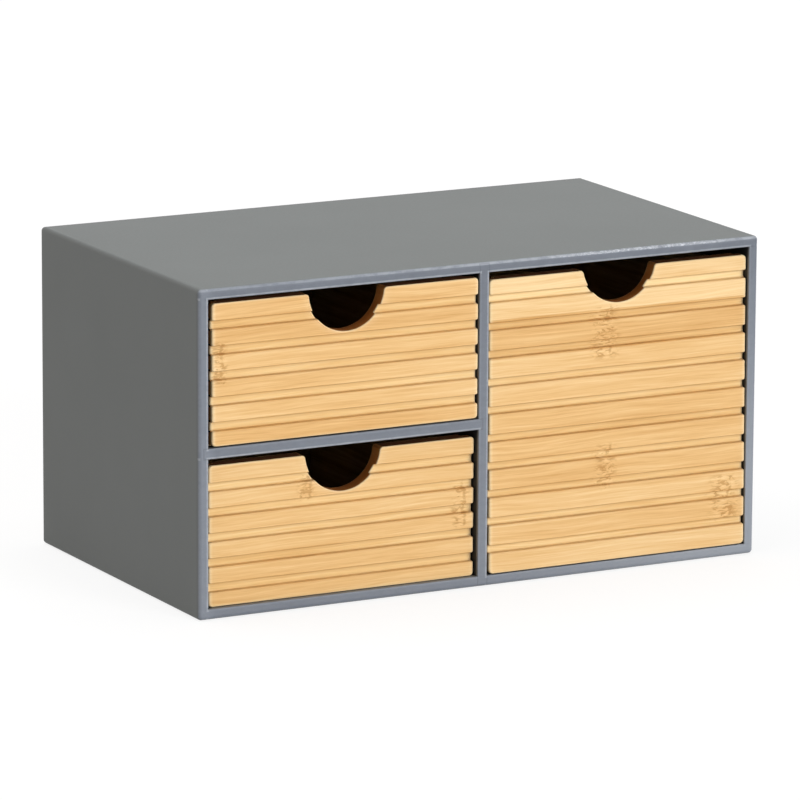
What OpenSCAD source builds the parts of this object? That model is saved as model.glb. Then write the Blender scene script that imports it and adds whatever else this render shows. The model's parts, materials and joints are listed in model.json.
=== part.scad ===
// Desktop mini drawers: a case of thin painted boards with three bays, and three
// drawers whose bamboo fronts are reeded with level grooves and notched for a finger.
// X runs across the fronts, the fronts face -Y, Z is up, and the origin is the centre
// of the base. All lengths are in millimetres.

/* [Case] */
// Overall width
case_w = 250; // [200:1:320]
// Overall depth, from the front edges to the back
case_d = 145; // [115:1:200]
// Overall height
case_h = 131; // [115:1:165]
// Thickness of the painted boards
board_t = 4.2; // [3.6:0.1:6]
// How deep the end of a board is let into its neighbour
housing_depth = 1.8; // [1:0.1:2.2]
// Height of the lower left bay, from the bottom to the shelf
lower_bay_h = 59.5; // [52:0.5:66]
// How far the centre divider stands to the right of the middle
divider_shift = 0; // [-20:0.5:20]
// Radius of the long outer edges of the case
outer_edge_r = 1.4; // [0.6:0.1:2]
// Radius of the arrises on the front edges of the boards
arris_r = 0.8; // [0.2:0.1:1]

/* [Back panel] */
// Thickness of the back panel
back_t = 3; // [2:0.5:5]
// Width of the ledge that the back panel lies on, all round
back_ledge = 2; // [1.5:0.1:2.4]
// Brads along the top, and as many along the bottom
brads_across = 4; // [2:1:6]
// Brads up each side
brads_up = 2; // [2:1:5]
// Distance from the inner corners to the first brad
brad_inset = 24; // [12:1:32]

/* [Brads] */
// Diameter of a brad's shank
brad_d = 1; // [0.8:0.1:1.2]
// Diameter of a brad's head
brad_head_d = 1.6; // [1.4:0.1:1.9]
// Thickness of a brad's head
brad_head_t = 0.5; // [0.3:0.1:0.8]
// Length of a brad, head included
brad_length = 10; // [8:0.5:14]

/* [Drawer fit] */
// Gap under a drawer's sides
run_gap = 0.3; // [0.2:0.1:0.6]
// Gap behind a drawer that is pushed right in
rear_gap = 0.3; // [0.3:0.1:1]
// How far a front stands behind the case's front edges when it is pushed right in
closed_setback = 2.8; // [1:0.1:4]
// Gap on each side of a left-hand drawer that stands centred
small_side_gap = 0.95; // [0.8:0.05:1.8]
// Gap on each side of the right-hand drawer when it stands centred
large_side_gap = 0.7; // [0.4:0.05:1.4]

/* [Drawers as they stand] */
// How far the upper left drawer is left standing out
upper_left_ajar = 2.2; // [0:0.1:2.5]
// How far the right drawer is left standing out
right_ajar = 1.6; // [0:0.1:2.5]
// How far the left-hand drawers lie to the right in their bays
left_drawers_lean = 0.55; // [0:0.05:0.7]
// How far the right drawer lies to the right in its bay
right_drawer_lean = 0.25; // [0:0.05:0.35]
// How far the upper left front is set above the lower edge of its drawer's sides
upper_left_lift = 0.7; // [0:0.1:1]
// How far the lower left front is set above the lower edge of its drawer's sides
lower_left_lift = 0.1; // [0:0.1:1]
// How far the right front is set above the lower edge of its drawer's sides
right_lift = 0.8; // [0:0.1:1]
// Gap over the upper left front
upper_left_head = 1.8; // [0.6:0.1:4]
// Gap over the lower left front
lower_left_head = 2.8; // [0.6:0.1:4]
// Gap over the right front
right_head = 3.5; // [0.6:0.1:4]

/* [Bamboo fronts] */
// Thickness of a front
front_t = 6.6; // [6:0.1:9]
// Depth of the reeding grooves
reed_depth = 1.9; // [1:0.1:2.2]
// Height of a groove on the left-hand fronts
small_reed_gap = 3.5; // [2:0.1:5]
// Distance between grooves on the left-hand fronts
small_reed_pitch = 10.02; // [7:0.01:16]
// Height of a groove on the right-hand front
large_reed_gap = 3.5; // [2:0.1:5]
// Distance between grooves on the right-hand front
large_reed_pitch = 11.23; // [7:0.01:16]
// Height of the top reed on the upper left front
upper_left_top_reed = 6.9; // [4:0.1:9]
// Height of the top reed on the lower left front
lower_left_top_reed = 7.1; // [4:0.1:9]
// Height of the top reed on the right front
right_top_reed = 6; // [4:0.1:9]
// Least height of the bottom reed
least_bottom_reed = 4; // [2:0.1:6]
// Radius of the reeds' long edges
reed_r = 0.5; // [0.2:0.05:0.7]
// Radius of the front's upright edges
front_end_r = 0.9; // [0.5:0.1:1.8]
// Radius of the front's corners, seen from the front
front_corner_r = 1.2; // [0.5:0.1:2]

/* [Finger notches] */
// Radius of a finger notch
notch_r = 16.5; // [10:0.1:20]
// Height of the notch's centre above the top edge of a left-hand front
small_notch_rise = 0.5; // [0:0.1:3]
// Height of the notch's centre above the top edge of the right-hand front
large_notch_rise = 2.4; // [0:0.1:3]
// Radius at the mouth of a notch
notch_mouth_r = 1.5; // [0.5:0.1:3]

/* [Drawer boxes] */
// Thickness of a drawer's sides
side_t = 4; // [3:0.1:5]
// Thickness of a drawer's back
box_back_t = 4; // [3:0.1:6]
// Thickness of a drawer's bottom
bottom_t = 2.5; // [2:0.1:4]
// Height of the bottom panel above the lower edge of the sides
bottom_rise = 3; // [2:0.1:5]
// How deep the bottom and the back are let into the sides
groove_depth = 1.5; // [1:0.1:2]
// How deep the sides and the bottom are let into the front
front_rebate = 2.6; // [2:0.1:3]
// How far the top of a side lies under the top of its front
side_drop = 5; // [2:0.5:12]
// Radius of the top edges of the sides and back
side_top_r = 0.9; // [0.3:0.1:1.4]
// Distance of the end brads from the top and bottom of a side
side_brad_inset = 12; // [9:0.5:16]
// Brads up each corner of a left-hand drawer
small_brads = 2; // [2:1:4]
// Brads up each corner of the right-hand drawer
large_brads = 3; // [2:1:6]

/* [Finish] */
// Paint on the case
paint_colour = "#85898c";
// Bamboo of the fronts
bamboo_colour = "#ecbf84";
// Plywood of the drawer boxes
plywood_colour = "#d9bd8f";
// Hardboard of the back panel
hardboard_colour = "#6f5a45";
// Steel of the brads
steel_colour = "#b4b6b8";

/* [Hidden] */
$fn = 48;
// How far a cutter runs past the face that it cuts
over = 1;
// How far beyond a profile the block runs that the profile is cut from
slack = 5;
// How far a notch's mouth curves stand back from its circle and from the top edge, so
// that the arcs never have to meet in one exact point
mouth_step = 0.02;

// The case: its faces and the board surfaces inside it
front_y = -case_d / 2;
rear_y = case_d / 2;
panel_y = rear_y - back_t;
inner_w = case_w - 2 * board_t;
ceiling_z = case_h - board_t;
shelf_z = board_t + lower_bay_h;
housed_w = inner_w + 2 * housing_depth;
divider_x = divider_shift - board_t / 2;
panel_w = inner_w + 2 * back_ledge;
panel_z = board_t - back_ledge;
panel_h = case_h - 2 * panel_z;

// The three bays and drawers, in one order: upper left, lower left, right
UPPER_LEFT = 0;
LOWER_LEFT = 1;
RIGHT = 2;
DRAWERS = [UPPER_LEFT, LOWER_LEFT, RIGHT];
left_bay_x = -inner_w / 2;
left_bay_w = divider_x - left_bay_x;
right_bay_x = divider_x + board_t;
right_bay_w = inner_w / 2 - right_bay_x;
bay_x = [left_bay_x, left_bay_x, right_bay_x];
bay_w = [left_bay_w, left_bay_w, right_bay_w];
bay_z = [shelf_z + board_t, board_t, board_t];
bay_h = [ceiling_z - bay_z[0], lower_bay_h, ceiling_z - board_t];
side_gap = [small_side_gap, small_side_gap, large_side_gap];
lean = [left_drawers_lean, left_drawers_lean, right_drawer_lean];
ajar = [upper_left_ajar, 0, right_ajar];
lift = [upper_left_lift, lower_left_lift, right_lift];
head = [upper_left_head, lower_left_head, right_head];
reed_gap = [small_reed_gap, small_reed_gap, large_reed_gap];
reed_pitch = [small_reed_pitch, small_reed_pitch, large_reed_pitch];
top_reed = [upper_left_top_reed, lower_left_top_reed, right_top_reed];
notch_rise = [small_notch_rise, small_notch_rise, large_notch_rise];
corner_brads = [small_brads, small_brads, large_brads];

// A drawer's own frame: X across its middle, Y from the face of its front to the
// rear, and Z up from the lower edge of its sides
drawer_d = case_d - back_t - closed_setback - rear_gap;
front_w = [for (d = DRAWERS) bay_w[d] - 2 * side_gap[d]];
front_h = [for (d = DRAWERS) bay_h[d] - run_gap - lift[d] - head[d]];
front_top = [for (d = DRAWERS) lift[d] + front_h[d]];
side_h = [for (d = DRAWERS) front_top[d] - side_drop];
rebate_y = front_t - front_rebate;
back_y = drawer_d - box_back_t;
box_inner_w = [for (d = DRAWERS) front_w[d] - 2 * side_t];
let_in_w = [for (d = DRAWERS) box_inner_w[d] + 2 * groove_depth];

// Grooves on each front, as many as leave a whole reed at the bottom
reed_grooves = [for (d = DRAWERS) 1 + floor(
    (front_h[d] - top_reed[d] - reed_gap[d] - least_bottom_reed) / reed_pitch[d])];

// ---- Shapes shared by several pieces ----

// A rectangle from the origin with its own radius at each corner, in the order
// low left, low right, high right, high left
module round_rect(w, h, radii) {
    corners = [[0, 0], [w, 0], [w, h], [0, h]];
    inward = [[1, 1], [-1, 1], [-1, -1], [1, -1]];
    polygon([for (i = [0:3], step = [0:1]) if (step == 0 || radii[i] > 0)
        corners[i] + radii[i] * ((i + step) % 2 == 0 ? [0, inward[i].y] : [inward[i].x, 0])]);
    for (i = [0:3])
        if (radii[i] > 0)
            translate(corners[i] + radii[i] * inward[i]) circle(r = radii[i]);
}

// A profile drawn in Y and Z, carried along X
module along_x(from, to) {
    translate([from, 0, 0]) rotate([90, 0, 90]) linear_extrude(to - from) children();
}

// A profile drawn in X and Z, carried along Y
module along_y(from, to) {
    translate([0, to, 0]) rotate([90, 0, 0]) linear_extrude(to - from) children();
}

// A profile drawn in X and Y, carried along Z
module along_z(from, to) {
    translate([0, 0, from]) linear_extrude(to - from) children();
}

// A box from its lowest corner to its highest
module block(low, high) {
    translate(low) cube(high - low);
}

// A brad that points along +Z, with its head flush with the origin's plane
module brad() {
    cylinder(d = brad_d, h = brad_length);
    cylinder(d = brad_head_d, h = brad_head_t);
}

// Evenly spaced places from one end to the other
function spread(from, to, count) =
    [for (i = [0:count - 1]) from + (to - from) * i / (count - 1)];

// ---- The case ----

// Every brad that holds the back panel, driven forwards from its rear face
module back_panel_brad_set() {
    brad_x = inner_w / 2 - brad_inset;
    ledge_x = (inner_w + back_ledge) / 2;
    ledge_low = board_t - back_ledge / 2;
    ledge_high = case_h - ledge_low;
    across = [for (x = spread(-brad_x, brad_x, brads_across), z = [ledge_low, ledge_high]) [x, z]];
    up = [for (z = spread(board_t + brad_inset, ceiling_z - brad_inset, brads_up),
        x = [-ledge_x, ledge_x]) [x, z]];
    for (place = concat(across, up))
        translate([place[0], rear_y, place[1]]) rotate([90, 0, 0]) brad();
}

// The room that the back panel takes up in the rear edges of the case
module back_rebate() {
    block([-panel_w / 2, panel_y, panel_z], [panel_w / 2, rear_y + over, panel_z + panel_h]);
}

// The top or bottom panel, whose outer face is at the outer height
module level_panel(outer_z, inner_z) {
    low = min(outer_z, inner_z);
    high = max(outer_z, inner_z);
    face_r = outer_z > inner_z ? [arris_r, 0, outer_edge_r, outer_edge_r]
                               : [outer_edge_r, outer_edge_r, 0, arris_r];
    difference() {
        along_x(-housed_w / 2, housed_w / 2)
            translate([front_y, low])
                round_rect(case_d, high - low, face_r);
        divider_body(housing_depth);
        back_rebate();
        back_panel_brad_set();
    }
}

// The centre divider, whose ends reach the given depth into the top and bottom
module divider_body(end_depth) {
    along_z(board_t - end_depth, ceiling_z + end_depth)
        translate([divider_x, front_y])
            round_rect(board_t, panel_y - front_y, [arris_r, arris_r, 0, 0]);
}

// The shelf, whose ends reach into the left side and into the divider
module shelf_body() {
    along_x(left_bay_x - housing_depth, divider_x + housing_depth)
        translate([front_y, shelf_z])
            round_rect(panel_y - front_y, board_t, [arris_r, 0, 0, arris_r]);
}

// The right side panel, with rebates for the top, the bottom and the back
module side_body() {
    inner_x = inner_w / 2;
    shoulder_x = inner_x + housing_depth;
    difference() {
        intersection() {
            along_z(0, case_h)
                translate([inner_x, front_y])
                    round_rect(board_t, case_d, [arris_r, outer_edge_r, outer_edge_r, 0]);
            along_y(front_y, rear_y)
                translate([inner_x, 0])
                    round_rect(board_t, case_h, [0, outer_edge_r, outer_edge_r, 0]);
            along_x(inner_x, inner_x + board_t)
                translate([front_y, 0])
                    round_rect(case_d, case_h, [for (i = [0:3]) outer_edge_r]);
        }
        block([inner_x - over, front_y - over, ceiling_z],
              [shoulder_x, rear_y + over, case_h + over]);
        block([inner_x - over, front_y - over, -over],
              [shoulder_x, rear_y + over, board_t]);
        back_rebate();
        back_panel_brad_set();
    }
}

module right_side_panel() {
    color(paint_colour) side_body();
}

// The left side also has the housing for the shelf
module left_side_panel() {
    color(paint_colour) difference() {
        mirror([1, 0, 0]) side_body();
        shelf_body();
    }
}

module top_panel() {
    color(paint_colour) level_panel(case_h, ceiling_z);
}

module bottom_panel() {
    color(paint_colour) level_panel(0, board_t);
}

module centre_divider() {
    color(paint_colour) difference() {
        divider_body(housing_depth);
        shelf_body();
    }
}

module shelf() {
    color(paint_colour) shelf_body();
}

module back_panel() {
    color(hardboard_colour) difference() {
        block([-panel_w / 2, panel_y, panel_z], [panel_w / 2, rear_y, panel_z + panel_h]);
        back_panel_brad_set();
    }
}

module back_panel_brads() {
    color(steel_colour) back_panel_brad_set();
}

// ---- The drawers ----

// Puts a drawer's own frame where the drawer stands in its bay
module in_bay(d) {
    translate([bay_x[d] + bay_w[d] / 2 + lean[d],
               front_y + closed_setback - ajar[d],
               bay_z[d] + run_gap])
        children();
}

// The brads of one drawer: up each corner, through the sides into the front and back
module drawer_brad_set(d) {
    for (y = [front_t - front_rebate / 2, drawer_d - box_back_t / 2],
         z = spread(side_brad_inset, side_h[d] - side_brad_inset, corner_brads[d]),
         hand = [-1, 1])
        translate([hand * front_w[d] / 2, y, z]) rotate([0, -hand * 90, 0]) brad();
}

// The cross-section of a reeded front in Y and Z: a slab, and reeds with rounded
// edges that stand out of it towards the face
module reed_section(d) {
    translate([reed_depth, 0]) square([front_t - reed_depth, front_h[d]]);
    groove_tops = [for (i = [0:reed_grooves[d] - 1])
        front_h[d] - top_reed[d] - i * reed_pitch[d]];
    reed_highs = concat([front_h[d]], [for (z = groove_tops) z - reed_gap[d]]);
    reed_lows = concat(groove_tops, [0]);
    for (i = [0:reed_grooves[d]])
        translate([0, reed_lows[i]])
            round_rect(reed_depth + reed_r, reed_highs[i] - reed_lows[i], [reed_r, 0, 0, reed_r]);
}

// The finger notch in X and Z: a circle below, and above it a mouth that opens out in
// two small curves, which run on from the circle and end at the top edge. The lines from
// the circle's centre to the curves' centres part the two
module notch_outline(d) {
    centre_z = front_h[d] + notch_rise[d];
    mouth_z = front_h[d] - notch_mouth_r;
    mouth_x = sqrt(pow(notch_r + notch_mouth_r, 2) - pow(centre_z - mouth_z, 2));
    low_z = centre_z - notch_r - over;
    high_z = centre_z + over;
    intersection() {
        translate([0, centre_z]) circle(r = notch_r);
        polygon([[0, centre_z], [-mouth_x, mouth_z], [-mouth_x, low_z],
                 [mouth_x, low_z], [mouth_x, mouth_z]]);
    }
    difference() {
        polygon([[0, centre_z], [mouth_x, mouth_z], [mouth_x, high_z],
                 [-mouth_x, high_z], [-mouth_x, mouth_z]]);
        for (hand = [-1, 1])
            translate([hand * mouth_x, mouth_z]) circle(r = notch_mouth_r - mouth_step);
    }
}

module drawer_front(d) {
    half_w = front_w[d] / 2;
    color(bamboo_colour) in_bay(d) difference() {
        translate([0, 0, lift[d]]) intersection() {
            along_x(-half_w - slack, half_w + slack) reed_section(d);
            along_y(-slack, front_t + slack) difference() {
                translate([-half_w, 0])
                    round_rect(front_w[d], front_h[d], [for (i = [0:3]) front_corner_r]);
                notch_outline(d);
            }
            along_z(-slack, front_h[d] + slack)
                translate([-half_w, 0])
                    round_rect(front_w[d], front_t, [front_end_r, front_end_r, 0, 0]);
        }
        // Rebates for the two sides
        for (hand = [0, 1])
            mirror([hand, 0, 0])
                block([half_w - side_t, rebate_y, -over],
                      [half_w + over, front_t + over, front_top[d] + over]);
        drawer_bottom_body(d);
        drawer_brad_set(d);
    }
}

// One side of a drawer, on the left for a hand of -1 and on the right for 1
module drawer_side(d, hand) {
    color(plywood_colour) in_bay(d) difference() {
        mirror([hand < 0 ? 1 : 0, 0, 0])
            along_y(rebate_y, drawer_d)
                translate([front_w[d] / 2 - side_t, 0])
                    round_rect(side_t, side_h[d], [0, 0, side_top_r, side_top_r]);
        drawer_bottom_body(d);
        drawer_back_body(d, bottom_rise);
        drawer_brad_set(d);
    }
}

// The bottom, let into the front and both sides, and running under the back
module drawer_bottom_body(d) {
    block([-let_in_w[d] / 2, rebate_y, bottom_rise],
          [let_in_w[d] / 2, drawer_d, bottom_rise + bottom_t]);
}

// The back, from the given height to the top of the sides
module drawer_back_body(d, from_z) {
    along_x(-let_in_w[d] / 2, let_in_w[d] / 2)
        translate([back_y, from_z])
            round_rect(box_back_t, side_h[d] - from_z, [0, 0, side_top_r, side_top_r]);
}

module drawer_back(d) {
    color(plywood_colour) in_bay(d) difference() {
        drawer_back_body(d, bottom_rise + bottom_t);
        drawer_brad_set(d);
    }
}

module drawer_bottom(d) {
    color(plywood_colour) in_bay(d) drawer_bottom_body(d);
}

module drawer_brads(d) {
    color(steel_colour) in_bay(d) drawer_brad_set(d);
}

module upper_left_drawer_front() { drawer_front(UPPER_LEFT); }
module upper_left_drawer_left_side() { drawer_side(UPPER_LEFT, -1); }
module upper_left_drawer_right_side() { drawer_side(UPPER_LEFT, 1); }
module upper_left_drawer_back() { drawer_back(UPPER_LEFT); }
module upper_left_drawer_bottom() { drawer_bottom(UPPER_LEFT); }
module upper_left_drawer_brads() { drawer_brads(UPPER_LEFT); }
module lower_left_drawer_front() { drawer_front(LOWER_LEFT); }
module lower_left_drawer_left_side() { drawer_side(LOWER_LEFT, -1); }
module lower_left_drawer_right_side() { drawer_side(LOWER_LEFT, 1); }
module lower_left_drawer_back() { drawer_back(LOWER_LEFT); }
module lower_left_drawer_bottom() { drawer_bottom(LOWER_LEFT); }
module lower_left_drawer_brads() { drawer_brads(LOWER_LEFT); }
module right_drawer_front() { drawer_front(RIGHT); }
module right_drawer_left_side() { drawer_side(RIGHT, -1); }
module right_drawer_right_side() { drawer_side(RIGHT, 1); }
module right_drawer_back() { drawer_back(RIGHT); }
module right_drawer_bottom() { drawer_bottom(RIGHT); }
module right_drawer_brads() { drawer_brads(RIGHT); }

left_side_panel();
right_side_panel();
top_panel();
bottom_panel();
centre_divider();
shelf();
back_panel();
back_panel_brads();
upper_left_drawer_front();
upper_left_drawer_left_side();
upper_left_drawer_right_side();
upper_left_drawer_back();
upper_left_drawer_bottom();
upper_left_drawer_brads();
lower_left_drawer_front();
lower_left_drawer_left_side();
lower_left_drawer_right_side();
lower_left_drawer_back();
lower_left_drawer_bottom();
lower_left_drawer_brads();
right_drawer_front();
right_drawer_left_side();
right_drawer_right_side();
right_drawer_back();
right_drawer_bottom();
right_drawer_brads();
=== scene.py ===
import json
import math

import bmesh
import bpy
import numpy as np
from mathutils import Matrix, Vector

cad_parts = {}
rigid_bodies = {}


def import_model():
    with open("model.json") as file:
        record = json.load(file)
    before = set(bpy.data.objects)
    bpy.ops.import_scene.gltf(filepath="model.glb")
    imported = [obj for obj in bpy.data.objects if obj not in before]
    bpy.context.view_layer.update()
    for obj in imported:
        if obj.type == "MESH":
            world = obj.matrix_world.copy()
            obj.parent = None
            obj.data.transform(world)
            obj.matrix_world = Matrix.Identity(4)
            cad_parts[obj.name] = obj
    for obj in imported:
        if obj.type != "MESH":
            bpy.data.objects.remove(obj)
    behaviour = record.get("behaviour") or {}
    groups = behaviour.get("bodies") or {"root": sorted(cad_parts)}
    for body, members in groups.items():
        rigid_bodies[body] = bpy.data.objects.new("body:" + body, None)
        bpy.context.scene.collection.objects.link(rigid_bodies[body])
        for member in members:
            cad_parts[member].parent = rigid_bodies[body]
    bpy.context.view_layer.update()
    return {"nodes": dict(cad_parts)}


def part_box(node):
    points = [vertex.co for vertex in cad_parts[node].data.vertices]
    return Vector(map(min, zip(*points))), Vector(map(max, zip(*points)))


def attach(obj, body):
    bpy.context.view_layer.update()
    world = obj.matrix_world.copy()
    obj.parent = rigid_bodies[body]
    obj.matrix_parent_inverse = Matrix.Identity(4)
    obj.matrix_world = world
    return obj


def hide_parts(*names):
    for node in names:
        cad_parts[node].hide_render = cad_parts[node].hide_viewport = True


# ---------------------------------------------------------------- frame
for spare in list(bpy.data.objects):
    bpy.data.objects.remove(spare)  # the start-up cube, lamp and camera
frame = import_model()
nodes = frame["nodes"]

MM = 0.001
QUARTER = math.pi / 2

# ---------------------------------------------------------------- sizes, in millimetres
# The case, as the part has it: its front edges, its sizes, its boards and back panel, how deep
# a board's end is let into its neighbour, and the ledge that the back panel lies on
FRONT_Y = -72.5
CASE_W, CASE_D, CASE_H = 250.0, 145.0, 131.0
BOARD_T, BACK_T = 4.2, 3.0
HOUSING, LEDGE = 1.8, 2.0
INNER_X = CASE_W / 2 - BOARD_T
SHOULDER_X = INNER_X + HOUSING
PANEL_X = INNER_X + LEDGE
CEILING_Z = CASE_H - BOARD_T
REAR_Y = FRONT_Y + CASE_D
PANEL_Y = REAR_Y - BACK_T

# Closer to the photograph than the part: the radii of the outer edges and the inner arrises,
# the height of the middle of the shelf, and how far a let-in end stands out of its edge
OUTER_R, ARRIS_R = 1.6, 0.3
SHELF_Z = 66.0
PROUD = 0.02

# The bamboo fronts: thickness, depth of the grooves, lean of their walls, least height of the
# bottom reed, and the rebate behind each end that takes a drawer side, as the depth of its
# floor behind the face and its width
FRONT_T = 6.85
REED_DEPTH, WALL_LEAN, LEAST_REED = 1.9, 0.08, 4.0
REBATE_Y, REBATE_X = 4.25, 4.0
# Their radii: upright ends, notch and its mouth, rims before and behind, a reed's long edges
# and its ends, and the foot of a groove's wall
END_R = 0.9
NOTCH_R, MOUTH_R = 16.5, 1.5
RIM_R, REAR_RIM_R = 0.5, 0.3
REED_EDGE_R, REED_CORNER_R, GROOVE_FOOT_R = 0.5, 0.75, 0.3
# How far inside a plywood face its glue line lies
PLY = 1.1

# How finely surfaces are divided: faces in a quarter circle, in one of an arris or a groove,
# and in the end of a reed, degrees from row to row beside a notch, and plain columns
CURVE_STEPS, ARRIS_STEPS, REED_CORNER_STEPS = 6, 4, 5
NOTCH_TURN, PLAIN_COLUMNS = 3, 12
# Where the first flat face past a rounding starts or ends, in radii from the edge
PAST, PAST_LEVELS = 1.3, 1.25
# Decimals of a millimetre by which two points differ, and the angle of a sharp edge
DECIMALS, SHARP_ANGLE = 3, 38.0

# Each front: where it stands, its grooves and notch, how far its face leans back at the top
# and out at the foot, and the glued strips that show in it, as (lower edge, paleness)
DRAWERS = {
    "upper_left_drawer": dict(
        centre=-60.65, face=-72.15, foot=68.6, width=116.6, height=56.4,
        top_reed=6.9, pitch=10.02, gap=3.3, notch_rise=0.5, lean=0.0, corner_r=1.5,
        strips=[(0, -0.08), (75.2, 0.02), (92.8, 0.03), (109.0, -0.07)],
    ),
    "lower_left_drawer": dict(
        centre=-61.0, face=-69.95, foot=4.3, width=116.9, height=56.3,
        top_reed=7.0, pitch=10.02, gap=3.3, notch_rise=0.7, lean=0.0, corner_r=1.5,
        strips=[(0, -0.01), (24.6, 0.03), (42.5, 0.03)],
    ),
    "right_drawer": dict(
        centre=61.9, face=-71.55, foot=4.6, width=117.5, height=118.7,
        top_reed=6.3, pitch=11.23, gap=2.9, notch_rise=2.4, lean=0.8, corner_r=1.8,
        strips=[
            (0, 0.08), (15.0, 0.04), (34.0, -0.01), (52.0, -0.04),
            (70.0, 0.03), (91.0, -0.14), (107.0, 0.24),
        ],
    ),
}

# Where a board's end shows in the edge of another: its x, z, half width and half height, then
# the axis across the board that holds it and that board's middle on this axis
BOARD_ENDS = [
    (0.0, 128.2, 2.1, 2.2, "z", CASE_H - BOARD_T / 2), (0.0, 2.4, 2.1, 1.8, "z", BOARD_T / 2),
    (-120.8, SHELF_Z, 2.0, 2.1, "x", (BOARD_T - CASE_W) / 2), (-2.2, SHELF_Z, 1.8, 2.1, "x", 0.0),
]

# Bamboo nodes: x, z, half width and half height of each cluster of marks
NODE_MARKS = [
    (-116.0, 101.0, 4.0, 8.5), (-77.0, 47.5, 4.0, 5.0), (-8.5, 33.5, 4.0, 9.0),
    (55.5, 97.5, 6.5, 10.5), (56.0, 43.0, 5.0, 9.0), (111.0, 24.5, 7.0, 9.5),
]


# ---------------------------------------------------------------- surfaces
def rounding(inset, radius):
    """How far a face has fallen back at a distance inside its rounded edge.

    back = r - sqrt(r^2 - (r - inset)^2) up to r from the edge, and nothing further in.
    """
    left = np.clip(radius - inset, 0, radius)
    return radius - np.sqrt(radius**2 - left**2)


def round_levels(radius, steps=CURVE_STEPS):
    """Distances inside a rounded edge, even in angle: r (1 - cos a), with one more beyond the curve."""
    turn = np.linspace(0, QUARTER, steps + 1)
    return np.append(radius * (1 - np.cos(turn)), radius * PAST_LEVELS)


def grid_quads(rows, columns, first):
    """Corner numbers of the quads of a rows x columns grid whose points start at `first`."""
    corner = first + np.arange(rows * columns).reshape(rows, columns)
    ring = (corner[:-1, :-1], corner[:-1, 1:], corner[1:, 1:], corner[1:, :-1])
    return np.stack(ring, axis=-1).reshape(-1, 4)


def skin(name, grids, material, marks=()):
    """Makes one closed mesh of several two-parameter grids of points, in millimetres.

    Points of different grids that fall on one place become one point, quads that have
    lost a corner by this become triangles, and those with no area left are dropped.
    What a grid holds beyond x, y and z becomes the attributes that `marks` names. Where
    grids meet, the attributes are those of the first one.
    """
    counts = [grid.shape[0] * grid.shape[1] for grid in grids]
    starts = np.concatenate([[0], np.cumsum(counts)[:-1]])
    points = np.concatenate([grid.reshape(-1, 3 + len(marks)) for grid in grids])
    points, values = points[:, :3], points[:, 3:]
    quads = np.concatenate(
        [grid_quads(grid.shape[0], grid.shape[1], start) for grid, start in zip(grids, starts)]
    )
    lattice = np.round(points * 10**DECIMALS).astype(np.int64)
    _, first, place = np.unique(lattice, axis=0, return_index=True, return_inverse=True)
    quads = place.reshape(-1)[quads]
    kept = quads != np.roll(quads, -1, axis=1)
    whole = (kept.sum(axis=1) >= 3) & (quads[:, 0] != quads[:, 2]) & (quads[:, 1] != quads[:, 3])
    quads, kept = quads[whole], kept[whole]
    sizes = kept.sum(axis=1)

    mesh = bpy.data.meshes.new(name)
    mesh.vertices.add(len(first))
    mesh.vertices.foreach_set("co", (points[first] * MM).ravel())
    mesh.loops.add(int(sizes.sum()))
    mesh.loops.foreach_set("vertex_index", quads[kept].astype(np.int32))
    mesh.polygons.add(len(sizes))
    mesh.polygons.foreach_set("loop_start", (np.cumsum(sizes) - sizes).astype(np.int32))
    mesh.update(calc_edges=True)
    mesh.validate()
    for column, mark in enumerate(marks):
        layer = mesh.attributes.new(mark, "FLOAT", "POINT")
        layer.data.foreach_set("value", values[first, column].astype(np.float32))
    outward(mesh)
    mesh.set_sharp_from_angle(angle=math.radians(SHARP_ANGLE))
    mesh.materials.append(material)
    piece = bpy.data.objects.new(name, mesh)
    bpy.context.scene.collection.objects.link(piece)
    return piece


def outward(mesh):
    """Turns every face of a closed mesh outwards."""
    work = bmesh.new()
    work.from_mesh(mesh)
    bmesh.ops.recalc_face_normals(work, faces=work.faces)
    work.to_mesh(mesh)
    work.free()


# ---------------------------------------------------------------- boards of the case
def arc(centre, radius, start, steps=CURVE_STEPS):
    """A quarter circle from `start` quarter turns on, as centre + radius (cos a, sin a)."""
    turn = (start + np.linspace(0, 1, steps + 1)) * QUARTER
    return np.asarray(centre) + radius * np.stack([np.cos(turn), np.sin(turn)], axis=-1)


def carried(name, profile, places, middle, order, material):
    """Profiles carried along a straight line, each closed on itself, with a fan to one middle
    point over each end.

    `profile` holds one closed outline for each place, or one for all of them, and `order`
    says which of x, y and z are the way along and the outline's two directions.
    """
    rows = np.broadcast_to(profile, (len(places), *profile.shape[-2:]))
    rows = np.concatenate([rows, rows[:, :1]], axis=1)
    along = np.broadcast_to(np.asarray(places)[:, None, None], (*rows.shape[:2], 1))
    sheet = np.concatenate([along, rows], axis=2)
    ends = []
    for edge in (sheet[0], sheet[-1]):
        hub = np.broadcast_to([edge[0, 0], *middle], edge.shape)
        ends.append(np.stack([edge, hub]))
    back = np.argsort(order)
    return skin(name, [grid[..., back] for grid in (sheet, *ends)], material)


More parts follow.
